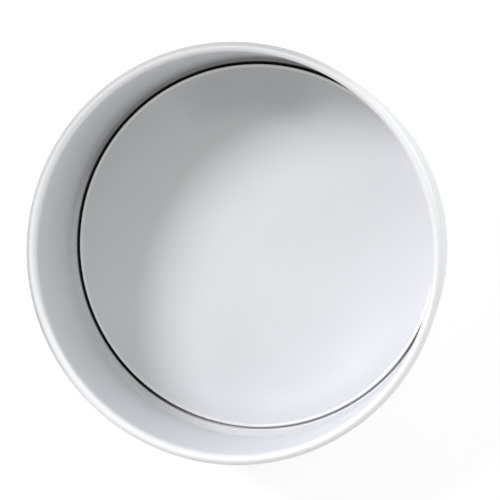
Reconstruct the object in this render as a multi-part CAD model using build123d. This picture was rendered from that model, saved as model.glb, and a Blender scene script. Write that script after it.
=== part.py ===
from build123d import *
import os
from math import acos, degrees

# Round cake tin with a loose base: a spun aluminium ring and a flat plate that lies in its foot.
# Millimetres. The tin stands upright, +Z runs up its axis to the mouth, and the origin is the
# middle of its underside.

# Sizes of the side ring, one sheet from its foot to its rolled rim
inner_diameter = 203.2
tin_height = 76.2
sheet = 1.0
bead_diameter = 5.0
curl_tip_gap = 0.2
corner_radius = 1.6
shoulder_flat = 0.2
step_inner_radius = 0.2
ledge_cover = 6.5
sheet_edge_break = 0.25

# Sizes of the loose base plate
base_thickness = 2.0
base_edge_radius = 0.5
base_clearance = 1.1

# Turns and bearings of the section's arcs, in degrees
quarter_turn = 90
full_turn = 360
facing_axis = 180
facing_down = -90

# Where the ring's wall, rim and foot lie, worked out from the sizes
half_sheet = sheet / 2
inner_radius = inner_diameter / 2
wall_line = inner_radius + half_sheet
bead_radius = bead_diameter / 2
bead_level = tin_height - bead_radius
bead_centre = inner_radius + bead_radius
curl_bend = bead_radius - half_sheet

# The foot steps down by the base plate's thickness, so that the plate lies flush with the shoulder
step_bend = step_inner_radius + half_sheet
corner_bend = corner_radius + half_sheet
shoulder_line = half_sheet + base_thickness
root_level = half_sheet + step_bend
crest_level = shoulder_line - step_bend
corner_level = shoulder_line + corner_bend
corner_centre = wall_line - corner_bend
crest_centre = corner_centre - shoulder_flat
riser_line = crest_centre - step_bend
root_centre = riser_line - step_bend

# The base plate lies on the ledge, with its clearance to the step all round
base_radius = riser_line - half_sheet - base_clearance
base_underside = sheet
ledge_inner_radius = base_radius - ledge_cover


def curl_sweep():
    """Degrees that the rim rolls through before its tip meets the outside of the wall."""
    tip_reach = bead_radius - sheet - curl_tip_gap
    return full_turn - degrees(acos(tip_reach / bead_radius))


def sheet_side(shift):
    """One side of the ring's sheet in section, from the ledge's edge to the curl's tip.

    A positive shift from the sheet's middle line gives the outer side, a negative one the inner.
    """
    return [
        Line((ledge_inner_radius, half_sheet - shift), (root_centre, half_sheet - shift)),
        CenterArc((root_centre, root_level), step_bend + shift, facing_down, quarter_turn),
        Line((riser_line + shift, root_level), (riser_line + shift, crest_level)),
        CenterArc((crest_centre, crest_level), step_bend - shift, facing_axis, -quarter_turn),
        Line((crest_centre, shoulder_line - shift), (corner_centre, shoulder_line - shift)),
        CenterArc((corner_centre, corner_level), corner_bend + shift, facing_down, quarter_turn),
        Line((wall_line + shift, corner_level), (wall_line + shift, bead_level)),
        CenterArc((bead_centre, bead_level), curl_bend - shift, facing_axis, -curl_sweep()),
    ]


def side_ring():
    """The spun ring: ledge, step, shoulder, straight wall and hollow rolled rim, all one sheet."""
    outer, inner = sheet_side(half_sheet), sheet_side(-half_sheet)
    ledge_end = Line(outer[0] @ 0, inner[0] @ 0)
    curl_end = Line(outer[-1] @ 1, inner[-1] @ 1)
    section = make_face([ledge_end, *inner, curl_end, *outer])
    ledge_edge = [v for v in section.vertices() if v.X < ledge_inner_radius + sheet_edge_break]
    section = fillet(ledge_edge, sheet_edge_break)
    return revolve(Plane.XZ * section, Axis.Z)


def loose_base():
    """The flat base plate, with its sheared edge rounded over above and below."""
    blank = Rectangle(base_radius, base_thickness, align=(Align.MIN, Align.MIN))
    rim = [v for v in blank.vertices() if v.X > base_radius - base_edge_radius]
    section = Pos(0, base_underside) * fillet(rim, base_edge_radius)
    return revolve(Plane.XZ * section, Axis.Z)


os.makedirs("parts", exist_ok=True)
for node, shape in {"side_ring": side_ring(), "loose_base": loose_base()}.items():
    export_step(shape, f"parts/{node}.step")
    print(f"{node}: volume {shape.volume:.1f} mm3")
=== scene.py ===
"""The looks of a round cake tin with a loose base: its two pieces, their satin finish and a studio.

The tin stands upright on the floor with +Z up its axis. Lengths are in metres, like the frame's.
A section is drawn in the half plane to the right of the axis, as pairs of a radius and a height.
"""

import logging
import math
from dataclasses import dataclass, field
from enum import Enum

import bpy
from mathutils import Matrix, Vector


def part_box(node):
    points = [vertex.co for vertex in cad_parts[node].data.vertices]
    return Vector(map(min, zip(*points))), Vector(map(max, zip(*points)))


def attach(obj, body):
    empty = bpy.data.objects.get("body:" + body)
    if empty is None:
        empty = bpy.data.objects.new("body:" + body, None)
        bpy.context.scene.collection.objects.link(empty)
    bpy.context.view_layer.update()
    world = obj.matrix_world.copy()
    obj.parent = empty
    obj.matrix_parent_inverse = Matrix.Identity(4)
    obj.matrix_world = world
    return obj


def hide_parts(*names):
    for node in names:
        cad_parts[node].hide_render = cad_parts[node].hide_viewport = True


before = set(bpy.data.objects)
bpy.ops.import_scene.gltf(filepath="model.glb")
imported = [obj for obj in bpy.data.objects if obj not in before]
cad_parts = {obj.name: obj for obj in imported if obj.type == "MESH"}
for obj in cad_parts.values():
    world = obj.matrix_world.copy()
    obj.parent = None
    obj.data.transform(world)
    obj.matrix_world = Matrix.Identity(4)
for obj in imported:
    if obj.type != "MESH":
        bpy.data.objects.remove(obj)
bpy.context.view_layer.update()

LOG = logging.getLogger("cake_tin")

MM = 0.001
QUARTER = 90.0
FULL = 360.0
UP_AXIS = (0.0, 0.0, 1.0)
SECTION_NORMAL = (0.0, 1.0, 0.0)

# The middle of what a noise texture puts out
NOISE_MIDDLE = 0.5

Place = tuple[float, float]
Colour = tuple[float, float, float]
Sockets = dict[str, bpy.types.NodeSocket]

WHITE: Colour = (1.0, 1.0, 1.0)


class Turn(Enum):
    """The way that an arc of a section turns, seen with the axis on the left."""

    LEFT = 1
    RIGHT = -1


class Ray(Enum):
    """The kinds of ray that find the floor near white."""

    CAMERA = "Is Camera Ray"
    GLOSSY = "Is Glossy Ray"
    TRANSMISSION = "Is Transmission Ray"


@dataclass(frozen=True)
class Mesher:
    """How finely the pieces are meshed.

    Attributes:
        bearings: Steps of a turn about the tin's axis.
        arc_step: Degrees of a section's arc in one step.
        longest_run: The longest stretch of a straight run without a ring of vertices.
        end_run: The short stretch at each end of a straight run, which keeps its shading flat.
        weld: Vertices closer than this become one.
        seed: Size of the plane that shrinks to a section's first vertex.
        crease: Edges that turn by more than this many degrees are shaded sharp.
    """

    bearings: int = 288
    arc_step: float = 9.0
    longest_run: float = 11.0 * MM
    end_run: float = 0.3 * MM
    weld: float = 0.002 * MM
    seed: float = 1.0 * MM
    crease: float = 40.0


class SectionPen:
    """Draws a section with edit-mode operators, run by run, and turns it about the axis."""

    def __init__(self, name: str, start: Place, mesher: Mesher) -> None:
        """Puts down the section's first vertex.

        Args:
            name: The piece's name.
            start: Radius and height where the section starts.
            mesher: How finely the section is drawn and turned.
        """
        self.mesher = mesher
        self.place = start
        bpy.ops.object.select_all(action="DESELECT")
        bpy.ops.mesh.primitive_plane_add(size=mesher.seed, location=(start[0], 0, start[1]))
        bpy.ops.object.transform_apply(location=True, rotation=False, scale=False)
        self.piece = bpy.context.object
        self.piece.name = name
        bpy.ops.object.mode_set(mode="EDIT")
        bpy.ops.mesh.select_all(action="SELECT")
        bpy.ops.mesh.merge(type="CENTER")

    def line_to(self, radius: float, height: float) -> None:
        """Extrudes a straight run, with rings of vertices along it and close to its ends.

        Args:
            radius: Radius where the run ends.
            height: Height where the run ends.
        """
        reach = Vector((radius - self.place[0], 0, height - self.place[1]))
        ahead = reach.normalized()
        middle = reach.length - 2 * self.mesher.end_run
        if middle > 0:
            inner_steps = math.ceil(middle / self.mesher.longest_run)
            inner_runs = [middle / inner_steps] * inner_steps
            runs = [self.mesher.end_run, *inner_runs, self.mesher.end_run]
        else:
            runs = [reach.length]
        for run in runs:
            bpy.ops.mesh.extrude_region_move(TRANSFORM_OT_translate={"value": ahead * run})
        self.place = (radius, height)

    def arc(self, centre: Place, sweep: float, turn: Turn) -> None:
        """Spins the section's last vertex along an arc.

        Args:
            centre: Radius and height of the arc's centre.
            sweep: Degrees that the arc covers.
            turn: The way that it turns.
        """
        signed = math.radians(sweep) * turn.value
        steps = math.ceil(sweep / self.mesher.arc_step)
        pivot = (centre[0], 0, centre[1])
        bpy.ops.mesh.spin(steps=steps, angle=signed, center=pivot, axis=SECTION_NORMAL)
        start = Vector((self.place[0] - centre[0], self.place[1] - centre[1]))
        end = Matrix.Rotation(signed, 2) @ start
        self.place = (centre[0] + end.x, centre[1] + end.y)

    def turned(self) -> bpy.types.Object:
        """Turns the whole section once about the tin's axis.

        Returns:
            The piece, in object mode, with its seam and poles welded and its faces outwards.
        """
        bpy.ops.mesh.select_all(action="SELECT")
        turn = math.radians(FULL)
        bpy.ops.mesh.spin(steps=self.mesher.bearings, angle=turn, center=(0, 0, 0), axis=UP_AXIS)
        bpy.ops.mesh.select_all(action="SELECT")
        bpy.ops.mesh.remove_doubles(threshold=self.mesher.weld)
        bpy.ops.mesh.normals_make_consistent(inside=False)
        bpy.ops.object.mode_set(mode="OBJECT")
        return self.piece


class Nodes:
    """A node tree with short calls to add, set and link its nodes."""

    def __init__(self, tree: bpy.types.NodeTree) -> None:
        """Wraps a tree.

        Args:
            tree: A material's, world's or node group's tree.
        """
        self.tree = tree

    def add(self, kind: str, links: dict | None = None, **settings: object) -> bpy.types.Node:
        """Adds a node.

        Args:
            kind: The node's type.
            links: For each input, by name or number, the socket or value that feeds it.
            settings: Properties of the node itself.

        Returns:
            The new node.
        """
        node = self.tree.nodes.new(kind)
        for name, value in settings.items():
            setattr(node, name, value)
        for key, value in (links or {}).items():
            self.feed(node.inputs[key], value)
        return node

    def feed(self, socket: bpy.types.NodeSocket, value: object) -> None:
        """Links a socket to an input, or gives the input a plain value.

        Args:
            socket: The input.
            value: The socket or value that feeds it.
        """
        if isinstance(value, bpy.types.NodeSocket):
            self.tree.links.new(value, socket)
        else:
            socket.default_value = value

    def math(self, operation: str, *terms: object, clamp: bool = False) -> bpy.types.NodeSocket:
        """Adds a Math node.

        Args:
            operation: What it does.
            terms: The sockets or numbers that it works on.
            clamp: Whether the result is kept between 0 and 1.

        Returns:
            The result.
        """
        links = dict(enumerate(terms))
        node = self.add("ShaderNodeMath", links, operation=operation, use_clamp=clamp)
        return node.outputs[0]

    def noise(self, place: object, scale: object, detail: float) -> bpy.types.NodeSocket:
        """Adds a noise texture.

        Args:
            place: Where it is read.
            scale: How many of its lumps there are to a metre.
            detail: How many finer layers it has.

        Returns:
            Its level, from 0 to 1.
        """
        links = {"Vector": place, "Scale": scale, "Detail": detail}
        return self.add("ShaderNodeTexNoise", links).outputs["Fac"]

    def mix(self, mask: object, first: object, second: object) -> bpy.types.NodeSocket:
        """Mixes two colours.

        Args:
            mask: How far the mix goes from the first to the second, from 0 to 1.
            first: The first colour.
            second: The second colour.

        Returns:
            The mixed colour.
        """
        node = self.add("ShaderNodeMix", None, data_type="RGBA")
        shown = {socket.name: socket.identifier for socket in node.inputs if socket.enabled}
        sockets = {socket.identifier: socket for socket in node.inputs}
        for key, value in {"Factor": mask, "A": first, "B": second}.items():
            self.feed(sockets[shown[key]], value)
        return next(socket for socket in node.outputs if socket.enabled)

    def bump(
        self, height: object, depth: float, under: object | None = None
    ) -> bpy.types.NodeSocket:
        """Adds heights to a surface.

        Args:
            height: The heights, from 0 to 1.
            depth: How far 1 stands above 0.
            under: The normal of the heights that these lie on, if there are any.

        Returns:
            The normal of the surface.
        """
        links = {"Height": height, "Strength": 1.0, "Distance": depth}
        if under is not None:
            links["Normal"] = under
        return self.add("ShaderNodeBump", links).outputs["Normal"]

    def fade(self, value: object, start: object, end: object) -> bpy.types.NodeSocket:
        """Makes a mask that falls smoothly.

        Args:
            value: What it is read from.
            start: The value up to which the mask is 1.
            end: The value from which it is 0.

        Returns:
            The mask.
        """
        ends = {"Value": value, "From Min": start, "From Max": end, "To Min": 1.0, "To Max": 0.0}
        node = self.add("ShaderNodeMapRange", ends, interpolation_type="SMOOTHSTEP")
        return node.outputs["Result"]

    def polar(self) -> tuple[bpy.types.NodeSocket, bpy.types.NodeSocket, bpy.types.NodeSocket]:
        """Reads where a point lies about the tin's axis.

        Returns:
            Its distance from the axis, its height, and its place itself.
        """
        place = self.add("ShaderNodeTexCoord").outputs["Object"]
        split = self.add("ShaderNodeSeparateXYZ", {0: place}).outputs
        flat = self.add("ShaderNodeCombineXYZ", {"X": split["X"], "Y": split["Y"]}).outputs[0]
        radius = self.add("ShaderNodeVectorMath", {0: flat}, operation="LENGTH").outputs["Value"]
        return radius, split["Z"], place


def rgba(colour: Colour) -> tuple[float, float, float, float]:
    """Returns a colour with full opacity."""
    return (*colour, 1.0)


class EffectGroups:
    """The shader node groups that both pieces' finishes share, each built once.

    Attributes:
        grain: The etched grain and the slow patches in it.
        turning: The turning lines.
        near_ring: The mask of what lies near a circle about the axis.
    """

    def __init__(self) -> None:
        """Builds the groups."""
        self.grain = self._grain()
        self.turning = self._turning()
        self.near_ring = self._near_ring()

    @staticmethod
    def _group(
        name: str, inputs: dict[str, float], outputs: tuple[str, ...]
    ) -> tuple[Nodes, Sockets, Sockets]:
        """Starts a group of number sockets.

        Args:
            name: The group's name.
            inputs: Each input's name and usual value.
            outputs: Each output's name.

        Returns:
            The group's nodes, its inputs' sockets by name, and its outputs' sockets by name.
        """
        tree = bpy.data.node_groups.new(name, "ShaderNodeTree")
        number = "NodeSocketFloat"
        for label, value in inputs.items():
            socket = tree.interface.new_socket(label, in_out="INPUT", socket_type=number)
            socket.default_value = value
        for label in outputs:
            tree.interface.new_socket(label, in_out="OUTPUT", socket_type=number)
        nodes = Nodes(tree)
        given = nodes.add("NodeGroupInput").outputs
        result = nodes.add("NodeGroupOutput").inputs
        inner = {label: given[label] for label in inputs}
        return nodes, inner, {label: result[label] for label in outputs}

    def _grain(self) -> bpy.types.NodeTree:
        """Builds the fine even grain of etched aluminium, with slow patches in it.

        Returns:
            A group that puts out the grain's height and the patches' mask.
        """
        inputs = {"Grain": 9000.0, "Patches": 22.0}
        nodes, given, result = self._group("satin_grain", inputs, ("Height", "Patch"))
        place = nodes.add("ShaderNodeTexCoord").outputs["Object"]
        fine = nodes.noise(place, given["Grain"], detail=3.0)
        slow = nodes.noise(place, given["Patches"], detail=4.0)
        nodes.tree.links.new(fine, result["Height"])
        nodes.tree.links.new(slow, result["Patch"])
        return nodes.tree

    def _turning(self) -> bpy.types.NodeTree:
        """Builds the faint rings that spinning and truing leave, which run round the axis.

        Returns:
            A group that puts out the rings' height.
        """
        inputs = {"Lines": 1400.0, "Drift": 0.6, "Wander": 14.0}
        nodes, given, result = self._group("turning_lines", inputs, ("Height",))
        radius, height, place = nodes.polar()
        wander = nodes.noise(place, given["Wander"], detail=1.0)
        drift = nodes.math("MULTIPLY", wander, given["Drift"])
        outward = nodes.math("MULTIPLY", radius, given["Lines"])
        upward = nodes.math("MULTIPLY", height, given["Lines"])
        ends = {"X": outward, "Y": upward, "Z": drift}
        across = nodes.add("ShaderNodeCombineXYZ", ends).outputs[0]
        lines = nodes.noise(across, scale=1.0, detail=2.0)
        nodes.tree.links.new(lines, result["Height"])
        return nodes.tree

    def _near_ring(self) -> bpy.types.NodeTree:
        """Builds a mask of what lies near a circle about the axis, with a ragged edge.

        Returns:
            A group that puts out its strength round the circle and 0 from its reach outwards.
        """
        inputs = {"Radius": 0.1, "Height": 0.0, "Reach": 0.001, "Full": 0.0}
        inputs |= {"Ragged": 0.3, "Breaks": 300.0, "Strength": 1.0}
        inputs |= {"Thin X": 0.0, "Thin Y": 0.0, "Whole": 1.0, "Gone": 2.0}
        nodes, given, result = self._group("near_ring", inputs, ("Mask",))
        radius, height, place = nodes.polar()
        out = nodes.math("SUBTRACT", radius, given["Radius"])
        rise = nodes.math("SUBTRACT", height, given["Height"])
        gap = nodes.add("ShaderNodeCombineXYZ", {"X": out, "Y": rise}).outputs[0]
        length = nodes.add("ShaderNodeVectorMath", {0: gap}, operation="LENGTH").outputs["Value"]
        away = nodes.math("DIVIDE", length, given["Reach"])
        breaks = nodes.noise(place, given["Breaks"], detail=2.0)
        uneven = nodes.math("SUBTRACT", breaks, NOISE_MIDDLE)
        ragged = nodes.math("MULTIPLY", uneven, given["Ragged"])
        near = nodes.fade(nodes.math("ADD", away, ragged), given["Full"], 1.0)
        side = {"X": given["Thin X"], "Y": given["Thin Y"]}
        thin = nodes.add("ShaderNodeCombineXYZ", side).outputs[0]
        along = nodes.add("ShaderNodeVectorMath", {0: place, 1: thin}, operation="DOT_PRODUCT")
        cosine = nodes.math("DIVIDE", along.outputs["Value"], radius)
        thick = nodes.fade(cosine, given["Whole"], given["Gone"])
        mask = nodes.math("MULTIPLY", nodes.math("MULTIPLY", near, thick), given["Strength"])
        nodes.tree.links.new(mask, result["Mask"])
        return nodes.tree


@dataclass(frozen=True)
class Thinning:
    """The side of the tin where an effect thins out.

    Attributes:
        bearing: The middle of that side, in degrees from +X towards +Y.
        gone: Degrees each side of it up to which the effect is gone.
        whole: Degrees each side of it from which the effect is whole.
    """

    bearing: float
    gone: float
    whole: float

    def values(self) -> dict[str, float]:
        """Works this side out for the near_ring group.

        Returns:
            The group's inputs that thin an effect out, by name.
        """
        side, gone, whole = (math.radians(angle) for angle in (self.bearing, self.gone, self.whole))
        ends = {"Whole": math.cos(whole), "Gone": math.cos(gone)}
        return {"Thin X": math.cos(side), "Thin Y": math.sin(side)} | ends


# How effects are spread round the tin, by the side where they are missing. The photograph's
# right is at bearing 0 and its top at 90.
NOT_LOWEST = Thinning(bearing=290.0, gone=10.0, whole=60.0)
TOP_ONLY = Thinning(bearing=290.0, gone=120.0, whole=150.0)
HIGHEST_ONLY = Thinning(bearing=272.0, gone=148.0, whole=172.0)
LOWER_RIGHT_ONLY = Thinning(bearing=110.0, gone=125.0, whole=165.0)
NOT_TOP = Thinning(bearing=110.0, gone=50.0, whole=75.0)
LEFT_ONLY = Thinning(bearing=10.0, gone=125.0, whole=155.0)
LOWER_LEFT_ONLY = Thinning(bearing=74.0, gone=140.0, whole=165.0)
UPPER_LEFT_ONLY = Thinning(bearing=317.0, gone=85.0, whole=120.0)
RIGHT_ONLY = Thinning(bearing=195.0, gone=105.0, whole=135.0)
FAR_LEFT_ONLY = Thinning(bearing=18.0, gone=125.0, whole=150.0)


@dataclass(frozen=True)
class NearRing:
    """A circle about the axis, and how far round it an effect reaches.

    Attributes:
        radius: The circle's radius.
        height: Its height.
        reach: How far the effect reaches from it.
        full: The share of the reach within which the effect is whole.
        strength: How strong the effect is at most.
        thinning: The side where the effect thins out, if there is one.
        ragged: How uneven the effect's edge is.
    """

    radius: float
    height: float
    reach: float
    full: float = 0.0
    strength: float = 1.0
    thinning: Thinning | None = None
    ragged: float = 0.1

    def mask(self, nodes: Nodes, groups: EffectGroups) -> bpy.types.NodeSocket:
        """Places the near_ring group in a material for this circle.

        Args:
            nodes: The material's nodes.
            groups: The shared effects.

        Returns:
            The circle's mask.
        """
        values = {"Radius": self.radius, "Height": self.height, "Reach": self.reach}
        values |= {"Full": self.full, "Strength": self.strength, "Ragged": self.ragged}
        if self.thinning:
            values |= self.thinning.values()
        return nodes.add("ShaderNodeGroup", values, node_tree=groups.near_ring).outputs["Mask"]


@dataclass(frozen=True)
class SatinFinish:
    """Satin anodised aluminium, with the marks of making and use, and painted light and shade.

    Attributes:
        name: The material's name.
        bright: Its colour where it is lightest.
        dull: Its colour where it is darkest.
        metallic: How much of its look is metal; the rest is the pale anodised layer over it.
        roughness: Its usual roughness.
        roughness_span: How much slow patches change the roughness by.
        grain_depth: Depth of the etched grain.
        line_depth: Depth of the turning lines.
        wear_and_highlight: Edges where handling has rubbed the finish, and edges lightened to paint
            in their highlight.
        wear_and_highlight_colour: Their colour.
        wear_and_highlight_roughness: How much smoother they are.
        pale: Places made paler and less metallic to paint in light, on the rim and at the wall's
            foot.
        painted_light_colour: Their colour.
        painted_light_metallic: The share of the metal's look that is left there.
        painted_shade: Places darkened to paint in shade.
        painted_shade_colour: The colour of the painted shade.
        painted_shade_roughness: How much rougher the surface is where shade is painted.
    """

    name: str
    bright: Colour = (0.86, 0.87, 0.89)
    dull: Colour = (0.80, 0.81, 0.83)
    metallic: float = 0.75
    roughness: float = 0.52
    roughness_span: float = 0.05
    grain_depth: float = 0.012 * MM
    line_depth: float = 0.006 * MM
    wear_and_highlight: tuple[NearRing, ...] = ()
    wear_and_highlight_colour: Colour = (0.97, 0.97, 0.98)
    wear_and_highlight_roughness: float = 0.15
    pale: tuple[NearRing, ...] = ()
    painted_light_colour: Colour = (0.95, 0.95, 0.96)
    painted_light_metallic: float = 0.3
    painted_shade: tuple[NearRing, ...] = ()
    painted_shade_colour: Colour = (0.004, 0.004, 0.004)
    painted_shade_roughness: float = 0.35

    def material(self, groups: EffectGroups) -> bpy.types.Material:
        """Builds the material.

        Args:
            groups: The shared effects.

        Returns:
            The new material.
        """
        made = bpy.data.materials.new(self.name)
        made.use_nodes = True
        made.node_tree.nodes.clear()
        nodes = Nodes(made.node_tree)
        grain = nodes.add("ShaderNodeGroup", None, node_tree=groups.grain).outputs
        lines = nodes.add("ShaderNodeGroup", None, node_tree=groups.turning).outputs["Height"]
        wear_and_highlight_mask = self._laid_over(nodes, groups, self.wear_and_highlight)
        pale = self._laid_over(nodes, groups, self.pale)
        shade_mask = self._laid_over(nodes, groups, self.painted_shade)

        colour = nodes.mix(grain["Patch"], rgba(self.dull), rgba(self.bright))
        # Painted light: a paler colour where light is painted.
        colour = nodes.mix(pale, colour, rgba(self.painted_light_colour))
        # Rubbed edges, and edges lightened to paint in their highlight.
        colour = nodes.mix(wear_and_highlight_mask, colour, rgba(self.wear_and_highlight_colour))
        # Painted shade: the colour goes towards near black where shade is painted.
        colour = nodes.mix(shade_mask, colour, rgba(self.painted_shade_colour))
        uneven = nodes.math("SUBTRACT", grain["Patch"], NOISE_MIDDLE)
        patchy = nodes.math("MULTIPLY_ADD", uneven, self.roughness_span, self.roughness)
        smoother = nodes.math("MULTIPLY", wear_and_highlight_mask, self.wear_and_highlight_roughness)
        rubbed = nodes.math("SUBTRACT", patchy, smoother)
        duller = nodes.math("MULTIPLY", shade_mask, self.painted_shade_roughness)
        rough = nodes.math("ADD", rubbed, duller, clamp=True)
        # Where light is painted, part of the metal's look gives way to the paler colour.
        metal_lost = nodes.math("MULTIPLY", pale, 1.0 - self.painted_light_metallic)
        bare = nodes.math("SUBTRACT", 1.0, metal_lost)
        # Where shade is painted, the metal's look goes as well.
        unshaded = nodes.math("SUBTRACT", 1.0, shade_mask)
        metal = nodes.math("MULTIPLY", nodes.math("MULTIPLY", bare, unshaded), self.metallic)

        etched = nodes.bump(grain["Height"], self.grain_depth)
        normal = nodes.bump(lines, self.line_depth, etched)
        looks = {"Base Color": colour, "Metallic": metal, "Roughness": rough, "Normal": normal}
        shader = nodes.add("ShaderNodeBsdfPrincipled", looks)
        nodes.add("ShaderNodeOutputMaterial", {"Surface": shader.outputs["BSDF"]})
        return made

    @staticmethod
    def _laid_over(
        nodes: Nodes, groups: EffectGroups, rings: tuple[NearRing, ...]
    ) -> bpy.types.NodeSocket | float:
        """Lays the masks of some circles over each other.

        Args:
            nodes: The material's nodes.
            groups: The shared effects.
            rings: The circles.

        Returns:
            One mask of them all, or 0 if there are none.
        """
        total: bpy.types.NodeSocket | float = 0.0
        for ring in rings:
            left = nodes.math("SUBTRACT", 1.0, total)
            total = nodes.math("MULTIPLY_ADD", ring.mask(nodes, groups), left, total)
        return total


def finish_piece(
    piece: bpy.types.Object, material: bpy.types.Material, body: str, node: str
) -> None:
    """Dresses a piece and ties it to the frame.

    Args:
        piece: The finished mesh.
        material: Its finish.
        body: The body that it rides on.
        node: The CAD node that it stands for.
    """
    piece.data.materials.clear()
    piece.data.materials.append(material)
    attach(piece, body)
    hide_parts(node)
    LOG.info("%s: %d vertices, on body %s", piece.name, len(piece.data.vertices), body)


@dataclass
class LooseBase:
    """The flat round plate that lies in the ring's foot and pushes up out of it.

    Attributes:
        edge_radius: Rounding of its edge, above and below.
        burr_rise: How far its rim stands above its top, as a sheared edge does.
        burr_land: Width of the level top of that rim.
        burr_slope: Width of the slope from the rim down to the top.
        mesher: How finely it is meshed.
    """

    edge_radius: float = 0.5 * MM
    burr_rise: float = 0.25 * MM
    burr_land: float = 0.3 * MM
    burr_slope: float = 0.6 * MM
    mesher: Mesher = field(default_factory=Mesher)

    def __post_init__(self) -> None:
        """Reads the plate's radius and levels from the frame."""
        low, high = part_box("loose_base")
        self.radius: float = high.x
        self.underside: float = low.z
        self.top: float = high.z

    def build(self) -> bpy.types.Object:
        """Draws half the plate's section, from the axis out below and back above, and turns it.

        Returns:
            The plate.
        """
        bend = self.radius - self.edge_radius
        crown = self.top + self.burr_rise
        pen = SectionPen("base_plate", (0.0, self.underside), self.mesher)
        pen.line_to(bend, self.underside)
        pen.arc((bend, self.underside + self.edge_radius), QUARTER, Turn.LEFT)
        pen.line_to(self.radius, crown - self.edge_radius)
        pen.arc((bend, crown - self.edge_radius), QUARTER, Turn.LEFT)
        pen.line_to(bend - self.burr_land, crown)
        pen.line_to(bend - self.burr_land - self.burr_slope, self.top)
        pen.line_to(0.0, self.top)
        plate = pen.turned()
        bpy.ops.object.shade_smooth_by_angle(angle=math.radians(self.mesher.crease))
        return plate

    def finish(self) -> SatinFinish:
        """Says how the plate is finished.

        Returns:
            Thicker anodising, a rubbed upper corner with painted highlight, painted shade on edge
            and top.
        """
        corner = self.radius - self.edge_radius
        return SatinFinish(
            name="base_satin",
            metallic=0.5,
            # A rubbed upper corner, lightened further to paint in its highlight.
            wear_and_highlight=(NearRing(corner, self.top, reach=1.5 * MM, full=0.4),),
            painted_shade=(self._edge_shade(), *self._shade_bands()),
        )

    def _edge_shade(self) -> NearRing:
        """Returns the painted shade down the plate's edge, about a circle just outside it."""
        beside, low = self.radius + 0.3 * MM, self.underside + 0.6 * MM
        return NearRing(beside, low, reach=1.6 * MM, full=0.6, thinning=NOT_LOWEST)

    def _shade_bands(self) -> tuple[NearRing, ...]:
        """Says where shade is painted on the plate's top.

        Returns:
            One wide and one narrow band inwards from its edge, and one further in that paints the
            wall's shadow at the top.
        """
        edge, further_in = self.radius, self.radius - 14.0 * MM
        side = LOWER_RIGHT_ONLY
        return (
            NearRing(edge, self.top, reach=16.0 * MM, strength=0.14, thinning=side),
            NearRing(edge, self.top, reach=2.0 * MM, full=0.4, strength=0.1, thinning=side),
            NearRing(
                further_in,
                self.top,
                reach=20.0 * MM,
                full=0.2,
                strength=0.14,
                thinning=HIGHEST_ONLY,
            ),
        )

    def dress(self, plate: bpy.types.Object, groups: EffectGroups) -> None:
        """Gives the plate its finish and its place in the frame."""
        material = self.finish().material(groups)
        finish_piece(plate, material, body="loose_base", node="loose_base")


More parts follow.
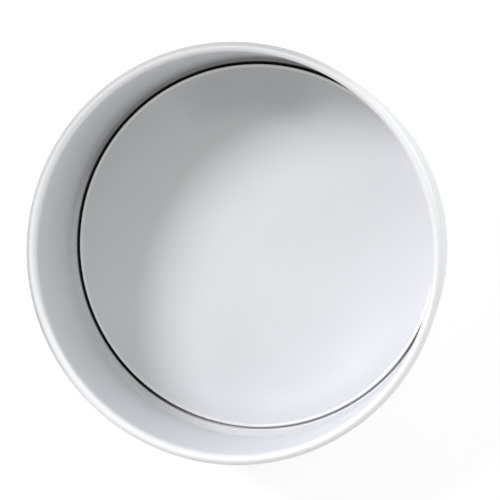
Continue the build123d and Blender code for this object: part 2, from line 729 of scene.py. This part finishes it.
@dataclass
class SideRing:
    """The ring: one sheet with a ledge, a step, a shoulder, a straight wall and a rolled rim.

    Attributes:
        base: The plate that lies in it.
        sheet: Its thickness.
        bead_diameter: Width of the rolled rim.
        curl_tip_gap: What the rim's tip leaves open to the wall.
        corner_radius: Inside radius of the corner at the wall's foot.
        step_bend: Radius of the sheet's middle line in the step's two bends.
        ledge_cover: How far the ledge reaches in under the plate.
        base_clearance: The gap between the plate and the step.
        edge_break: Width of the bevel on its cut edges.
        break_steps: Steps across that bevel.
        sharp_edge: Edges that turn by more than this many degrees are cut edges.
        mesher: How finely it is meshed.
    """

    base: LooseBase
    sheet: float = 1.0 * MM
    bead_diameter: float = 5.0 * MM
    curl_tip_gap: float = 0.2 * MM
    corner_radius: float = 1.6 * MM
    step_bend: float = 0.7 * MM
    ledge_cover: float = 6.5 * MM
    base_clearance: float = 1.1 * MM
    edge_break: float = 0.25 * MM
    break_steps: int = 3
    sharp_edge: float = 60.0
    mesher: Mesher = field(default_factory=Mesher)

    def __post_init__(self) -> None:
        """Reads the rim's reach from the frame and works out where the sheet's middle line runs."""
        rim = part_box("side_ring")[1]
        half = self.sheet / 2
        bead_radius = self.bead_diameter / 2
        self.curl_bend: float = bead_radius - half
        self.curl_centre: Place = (rim.x - bead_radius, rim.z - bead_radius)
        self.wall_line: float = rim.x - self.bead_diameter + half
        self.corner_bend: float = self.corner_radius + half
        self.ledge_line: float = self.base.underside - half
        self.shoulder_line: float = self.base.top - half
        self.riser_line: float = self.base.radius + self.base_clearance + half

    def build(self) -> bpy.types.Object:
        """Draws the sheet's middle line from ledge to curl, turns it and gives it its thickness.

        Returns:
            The ring.
        """
        root_level = self.ledge_line + self.step_bend
        crest_level = self.shoulder_line - self.step_bend
        root = self.riser_line - self.step_bend
        crest = self.riser_line + self.step_bend
        corner = self.wall_line - self.corner_bend
        corner_level = self.shoulder_line + self.corner_bend

        start = (self.base.radius - self.ledge_cover, self.ledge_line)
        pen = SectionPen("ring_shell", start, self.mesher)
        pen.line_to(root, self.ledge_line)
        pen.arc((root, root_level), QUARTER, Turn.LEFT)
        pen.line_to(self.riser_line, crest_level)
        pen.arc((crest, crest_level), QUARTER, Turn.RIGHT)
        pen.line_to(corner, self.shoulder_line)
        pen.arc((corner, corner_level), QUARTER, Turn.LEFT)
        pen.line_to(self.wall_line, self.curl_centre[1])
        pen.arc(self.curl_centre, self._curl_sweep(), Turn.RIGHT)
        ring = pen.turned()
        self._thicken(ring)
        return ring

    def _curl_sweep(self) -> float:
        """Works out how far the rim rolls before its tip meets the wall.

        Returns:
            The turn, in degrees.
        """
        bead_radius = self.bead_diameter / 2
        tip_reach = bead_radius - self.sheet - self.curl_tip_gap
        return FULL - math.degrees(math.acos(tip_reach / bead_radius))

    def _thicken(self, ring: bpy.types.Object) -> None:
        """Gives the sheet its thickness and breaks its two cut edges.

        Args:
            ring: The sheet's middle surface, which is the active object.
        """
        wall = ring.modifiers.new("sheet", "SOLIDIFY")
        wall.thickness = self.sheet
        wall.offset = 0.0
        wall.use_even_offset = True
        wall.use_rim = True
        bpy.ops.object.modifier_apply(modifier=wall.name)
        edge = ring.modifiers.new("edge_break", "BEVEL")
        edge.width = self.edge_break
        edge.segments = self.break_steps
        edge.limit_method = "ANGLE"
        edge.angle_limit = math.radians(self.sharp_edge)
        bpy.ops.object.modifier_apply(modifier=edge.name)
        bpy.ops.object.shade_smooth_by_angle(angle=math.radians(self.mesher.crease))

    def finish(self) -> SatinFinish:
        """Says how the ring is finished.

        Returns:
            A rubbed foot, painted light on the rim and the wall's foot, and painted shade.
        """
        return SatinFinish(
            name="ring_satin",
            wear_and_highlight=(NearRing(self.riser_line, 0.0, reach=1.2 * MM),),
            pale=self._painted_light(),
            painted_shade=(*self._slot_shade(), *self._shade_bands(), *self._outer_shade()),
        )

    def _painted_light(self) -> tuple[NearRing, ...]:
        """Says where light is painted on the ring, as paler, less metallic colour.

        Returns:
            The rim, and the corner at the wall's foot in three stretches.
        """
        rim_radius, rim_level = self.curl_centre
        rim_reach = self.bead_diameter / 2 + 2.0 * MM
        inside = self.wall_line - self.sheet / 2
        foot = self.base.top + 1.8 * MM
        above_foot = foot + 1.2 * MM
        return (
            # A painted highlight along the rim, then painted light lifting the wall's foot.
            NearRing(rim_radius, rim_level, reach=rim_reach, full=0.6),
            NearRing(
                inside, above_foot, reach=8.0 * MM, full=0.1, strength=0.5, thinning=NOT_TOP
            ),
            NearRing(inside, foot, reach=3.0 * MM, strength=0.5, thinning=TOP_ONLY),
            NearRing(
                inside, foot, reach=9.0 * MM, full=0.3, strength=0.65, thinning=LOWER_LEFT_ONLY
            ),
        )

    def _slot_shade(self) -> tuple[NearRing, ...]:
        """Says where shade is painted in the slot round the plate.

        Returns:
            The slot's painted shade, more of it at the left, and more on its floor.
        """
        slot, slot_floor = self.base.radius + self.base_clearance / 2, self.base.underside
        middle = slot_floor + 0.8 * MM
        return (
            NearRing(slot, middle, reach=1.9 * MM, full=0.55, thinning=NOT_LOWEST),
            NearRing(slot, middle, reach=2.2 * MM, full=0.55, strength=0.6, thinning=LEFT_ONLY),
            NearRing(slot, slot_floor, reach=0.5 * MM, full=0.5, strength=0.6),
        )

    def _shade_bands(self) -> tuple[NearRing, ...]:
        """Says where shade is painted on the shoulder and up the wall.

        Returns:
            The wall's band and the strongest on the shoulder, both at the photograph's top, one
            all round the shoulder, and two on its outer bend.
        """
        inside, floor_level = self.wall_line - self.sheet / 2, self.base.top
        shoulder = inside - self.corner_radius
        bend = 0.5 * MM
        return (
            NearRing(inside, floor_level, reach=30.0 * MM, strength=0.15, thinning=TOP_ONLY),
            NearRing(
                shoulder, floor_level, reach=2.4 * MM, full=0.4, strength=0.4, thinning=TOP_ONLY
            ),
            NearRing(shoulder, floor_level, reach=1.7 * MM, full=0.4, strength=0.17),
            NearRing(
                shoulder + bend,
                floor_level,
                reach=1.5 * MM,
                full=0.4,
                strength=0.15,
                thinning=LOWER_RIGHT_ONLY,
            ),
            NearRing(
                inside - bend,
                floor_level + bend,
                reach=1.4 * MM,
                full=0.4,
                strength=0.13,
                thinning=FAR_LEFT_ONLY,
            ),
        )

    def _outer_shade(self) -> tuple[NearRing, ...]:
        """Says where shade is painted on the ring's outside.

        Returns:
            Stretches of the rim's flank, crest and limb, and a dark line round the outside of the
            foot.
        """
        rim_radius, rim_level = self.curl_centre
        bead_radius = self.bead_diameter / 2
        flank = bead_radius * math.sqrt(0.5)
        limb, crest = rim_radius + bead_radius, rim_level + bead_radius
        below_limb = rim_level - 0.3 * MM
        outside, foot_shade_level = self.wall_line + self.sheet / 2, 1.8 * MM
        return (
            NearRing(
                rim_radius + flank,
                rim_level + flank,
                reach=2.6 * MM,
                full=0.35,
                strength=0.4,
                thinning=UPPER_LEFT_ONLY,
            ),
            NearRing(
                rim_radius, crest, reach=2.2 * MM, full=0.3, strength=0.09, thinning=TOP_ONLY
            ),
            NearRing(
                limb, below_limb, reach=1.3 * MM, full=0.3, strength=0.3, thinning=RIGHT_ONLY
            ),
            NearRing(outside, foot_shade_level, reach=1.3 * MM, full=0.3, strength=0.45),
        )

    def dress(self, ring: bpy.types.Object, groups: EffectGroups) -> None:
        """Gives the ring its finish and its place in the frame."""
        material = self.finish().material(groups)
        finish_piece(ring, material, body="side_ring", node="side_ring")


@dataclass(frozen=True)
class Lamp:
    """A round soft light that points at the tin.

    Attributes:
        name: Its name.
        bearing: Degrees from +X towards +Y.
        off_axis: Degrees away from straight overhead.
        size: Its width.
        power: Watts.
        colour: Its colour.
        distance: Distance from the tin's middle.
    """

    name: str
    bearing: float
    off_axis: float
    size: float
    power: float
    colour: Colour = WHITE
    distance: float = 1.6

    def place(self, target: Vector) -> None:
        """Adds the lamp and turns it to its target.

        Args:
            target: What it points at.
        """
        bearing, tilt = math.radians(self.bearing), math.radians(self.off_axis)
        level = math.sin(tilt)
        towards = Vector((math.cos(bearing) * level, math.sin(bearing) * level, math.cos(tilt)))
        data = bpy.data.lights.new(self.name, "AREA")
        data.shape = "DISK"
        data.size = self.size
        data.energy = self.power
        data.color = self.colour
        lamp = bpy.data.objects.new(self.name, data)
        lamp.location = target + towards * self.distance
        lamp.rotation_euler = (-towards).to_track_quat("-Z", "Y").to_euler()
        bpy.context.scene.collection.objects.link(lamp)


@dataclass(frozen=True)
class PhotoCamera:
    """The photograph's view, as a camera above the standing tin.

    Attributes:
        frame_px: Width and height of the photograph.
        focal_px: Focal length.
        rim_px: Where the middle of the rim's plane shows, to the right and down.
        axis_lean: How far the mouth's axis runs right and down, per unit towards the camera.
        rim_distance: Depth of the rim's middle.
        sensor_mm: The sensor's width.
    """

    frame_px: int = 500
    focal_px: float = 2043.6
    rim_px: tuple[float, float] = (230.13, 254.83)
    axis_lean: tuple[float, float] = (-0.1838, 0.0597)
    rim_distance: float = 1.0239
    sensor_mm: float = 36.0

    def place(self, rim_centre: Vector) -> None:
        """Adds the camera so that the rim and the tin's axis show where the photograph has them.

        Args:
            rim_centre: The middle of the rim's plane.
        """
        axis = Vector((self.axis_lean[0], self.axis_lean[1], -1.0)).normalized()
        right = Vector((math.sqrt(1 - axis.x**2), 0.0, axis.x))
        down_x = -axis.x * axis.y / right.x
        down = Vector((down_x, -math.sqrt(1 - down_x**2 - axis.y**2), axis.y))
        ahead = right.cross(down)
        middle = self.frame_px / 2
        across, below = ((px - middle) / self.focal_px * self.rim_distance for px in self.rim_px)
        data = bpy.data.cameras.new("photo_camera")
        data.sensor_width = self.sensor_mm
        data.lens = self.focal_px / self.frame_px * self.sensor_mm
        camera = bpy.data.objects.new("photo_camera", data)
        turn = Matrix((right, -down, -ahead)).transposed()
        camera.location = rim_centre - right * across - down * below - ahead * self.rim_distance
        camera.rotation_euler = turn.to_euler()
        bpy.context.scene.collection.objects.link(camera)
        bpy.context.scene.camera = camera


@dataclass
class Studio:
    """A plain pale floor, soft lamps, an even surround and the photograph's camera.

    Attributes:
        floor_size: Width of the floor.
        floor_bounce: Its paleness to rays that pass its light on to the tin.
        floor_glow: What it shines with by itself, to rays that see it.
        floor_share: Its paleness under the lamps to those rays, where the shadow shows.
        surround: Level of the surround.
        surround_colour: Colour of the surround.
        lamps: The lamps.
    """

    floor_size: float = 120.0
    floor_bounce: float = 0.6
    floor_glow: float = 0.625
    floor_share: float = 0.6
    surround: float = 0.51
    surround_colour: Colour = (1.0, 1.0, 0.965)
    lamps: tuple[Lamp, ...] = (
        Lamp(
            "key_lamp",
            bearing=143.0,
            off_axis=44.0,
            size=0.5,
            power=15.0,
            colour=(0.95, 0.94, 1.0),
        ),
        Lamp(
            "low_lamp",
            bearing=30.0,
            off_axis=74.0,
            size=0.7,
            power=6.0,
            colour=(0.88, 1.0, 1.0),
        ),
        Lamp("fill_lamp", bearing=120.0, off_axis=58.0, size=0.6, power=1.8),
        Lamp("side_lamp", bearing=315.0, off_axis=88.0, size=0.7, power=2.5),
    )

    def build(self, rim_centre: Vector) -> None:
        """Sets up the studio round the tin.

        Args:
            rim_centre: The middle of the rim's plane.
        """
        self._floor()
        self._surround()
        for lamp in self.lamps:
            lamp.place(rim_centre / 2)
        PhotoCamera().place(rim_centre)
        bpy.context.scene.view_settings.view_transform = "Standard"

    def _floor(self) -> None:
        """Lays the floor.

        Rays that see it find it near white, but for the tin's soft shadow. To all others it is
        a pale grey, which throws less light on the outside of the tin.
        """
        bpy.ops.object.select_all(action="DESELECT")
        bpy.ops.mesh.primitive_plane_add(size=self.floor_size, location=(0, 0, 0))
        floor = bpy.context.object
        floor.name = "studio_floor"
        made = bpy.data.materials.new("floor_white")
        made.use_nodes = True
        made.node_tree.nodes.clear()
        nodes = Nodes(made.node_tree)
        bounce, share = rgba((self.floor_bounce,) * 3), rgba((self.floor_share,) * 3)
        plain = nodes.add("ShaderNodeBsdfDiffuse", {"Color": bounce}).outputs[0]
        faint = nodes.add("ShaderNodeBsdfDiffuse", {"Color": share}).outputs[0]
        glow = nodes.add("ShaderNodeEmission", {"Strength": self.floor_glow}).outputs[0]
        seen = nodes.add("ShaderNodeAddShader", {0: faint, 1: glow}).outputs[0]
        path = nodes.add("ShaderNodeLightPath").outputs
        seeing: bpy.types.NodeSocket | float = 0.0
        for ray in Ray:
            seeing = nodes.math("MAXIMUM", seeing, path[ray.value])
        mixed = nodes.add("ShaderNodeMixShader", {0: seeing, 1: plain, 2: seen}).outputs[0]
        nodes.add("ShaderNodeOutputMaterial", {"Surface": mixed})
        floor.data.materials.append(made)

    def _surround(self) -> None:
        """Gives the world one even pale level."""
        world = bpy.data.worlds.new("studio_surround")
        world.use_nodes = True
        world.node_tree.nodes.clear()
        nodes = Nodes(world.node_tree)
        even = {"Color": rgba(self.surround_colour), "Strength": self.surround}
        background = nodes.add("ShaderNodeBackground", even).outputs[0]
        nodes.add("ShaderNodeOutputWorld", {"Surface": background})
        bpy.context.scene.world = world


def main() -> None:
    """Builds the tin's two pieces and the studio."""
    logging.basicConfig(level=logging.INFO, format="%(name)s: %(message)s")
    groups = EffectGroups()
    base = LooseBase()
    ring = SideRing(base)
    base.dress(base.build(), groups)
    ring.dress(ring.build(), groups)
    Studio().build(Vector((0, 0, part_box("side_ring")[1].z)))


if __name__ == "__main__":
    main()
